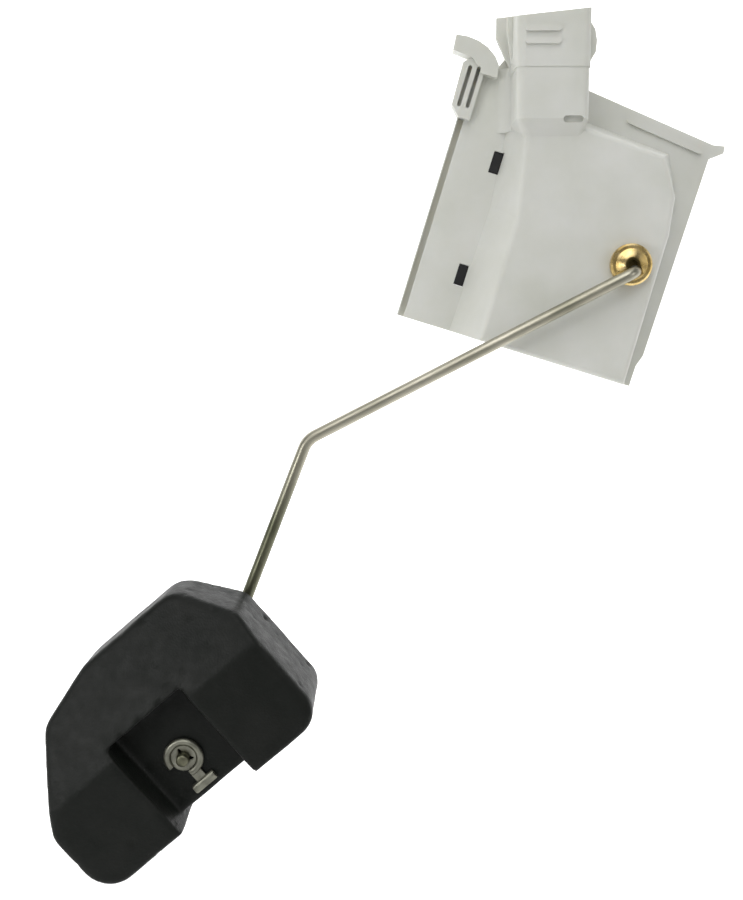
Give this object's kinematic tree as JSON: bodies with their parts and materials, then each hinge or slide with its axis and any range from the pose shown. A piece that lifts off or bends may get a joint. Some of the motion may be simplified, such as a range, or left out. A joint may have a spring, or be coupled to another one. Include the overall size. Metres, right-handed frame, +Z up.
{
  "type": "fuel level sender",
  "caption": "Fuel-tank level sender: moulded plastic resistor housing with connector socket, brass pivot, bent wire arm and a dark foam float on its end.",
  "frame": {"origin": "where the arm's pivot axis meets the housing's rear mounting face", "axes": "+Y out of the rear mounting face (the front faces -Y), +Z up along the connector socket, +X to the right seen from the front"},
  "size_m": [0.1374, 0.0428, 0.1712],
  "materials": {
    "acetal_natural": "natural acetal moulding, milky white, fine matte texture",
    "acetal_black": "black acetal moulding",
    "brass": "turned brass",
    "spring_wire": "drawn steel wire, slightly tarnished",
    "contact_bronze": "phosphor bronze strip",
    "contact_silver": "silver-palladium contact alloy",
    "washer_nylon": "natural nylon",
    "clip_steel": "spring steel strip, zinc plated",
    "card_ceramic": null,
    "resistor_ink": "fired ruthenium oxide ink",
    "terminal_tin": "tin-plated brass sheet",
    "foam_nitrile": "closed-cell nitrile foam with a moulded skin"
  },
  "bodies": {
    "housing": {"housing": "acetal_natural", "rear_cover": "acetal_black", "pivot_bush": "brass", "resistor_card": "card_ceramic", "contact_pads": "contact_silver", "resistor_track": "resistor_ink", "return_track": "contact_silver", "signal_terminal": "terminal_tin", "ground_terminal": "terminal_tin", "terminal_rivets": "terminal_tin"},
    "arm": {"pivot_hub": "brass", "float_arm": "spring_wire", "wiper_carrier": "acetal_black", "wiper_blade": "contact_bronze", "wiper_contacts": "contact_silver", "wiper_rivets": "brass", "thrust_washer": "washer_nylon", "hub_circlip": "clip_steel", "float_washer": "washer_nylon", "float_clip": "clip_steel"},
    "float": {"float": "foam_nitrile"}
  },
  "joints": [
    {"name": "arm_swing", "type": "hinge", "parent": "housing", "child": "arm", "pos_m": [0, 0, 0], "axis": [0, 1, 0], "range_deg": [0, 80]},
    {"name": "float_swivel", "type": "hinge", "parent": "arm", "child": "float", "pos_m": [-0.08876, -0.0228, -0.09552], "axis": [0, 1, 0], "continuous": true}
  ]
}
